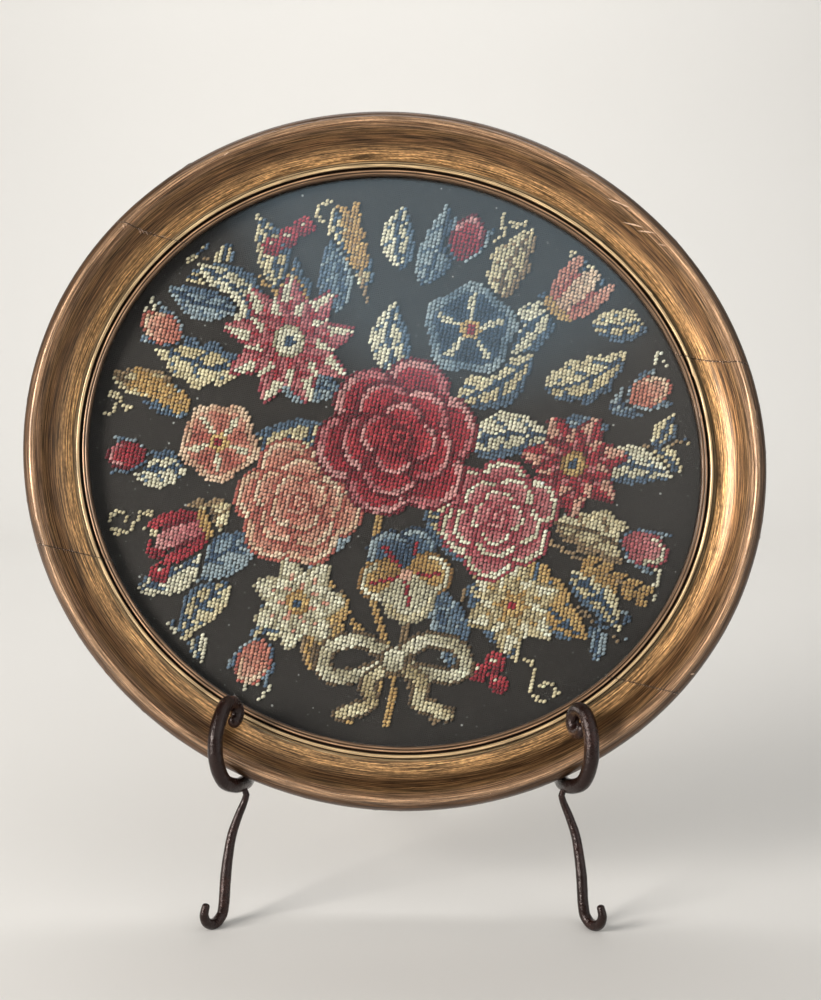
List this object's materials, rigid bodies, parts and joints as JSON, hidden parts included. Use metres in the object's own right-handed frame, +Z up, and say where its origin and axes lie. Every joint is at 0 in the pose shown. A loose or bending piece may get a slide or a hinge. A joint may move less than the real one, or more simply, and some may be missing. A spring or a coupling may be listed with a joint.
{
  "type": "framed berlin woolwork panel on a wrought-iron easel",
  "caption": "Oval needlework panel of wool stitches on dark cloth, under glass in a gilt moulded wood frame, resting on the hooks of a wrought-iron easel.",
  "frame": {"origin": "on the floor under the middle of the whole, frame and easel together", "axes": "+Z up, the panel faces -Y and leans back by 12 degrees, +X to the viewer's right"},
  "size_m": [0.3904, 0.2082, 0.4169],
  "materials": {
    "gilt": "worn bronze-gold leaf over wood, brushed",
    "glass": "clear flat glass",
    "wool": "dark canvas with raised wool stitches",
    "board": "plain brown backing board",
    "iron": "dark brown-black satin wrought iron"
  },
  "bodies": {
    "root": {"frame_right": "gilt", "frame_top": "gilt", "frame_left": "gilt", "frame_bottom": "gilt", "glass": "glass", "woolwork_cloth": "wool", "back_board": "board", "side_rod_left": "iron", "side_rod_right": "iron", "front_leg_left": "iron", "front_leg_right": "iron", "cross_bar_upper": "iron", "cross_bar_lower": "iron", "rear_leg": "iron"}
  },
  "joints": []
}
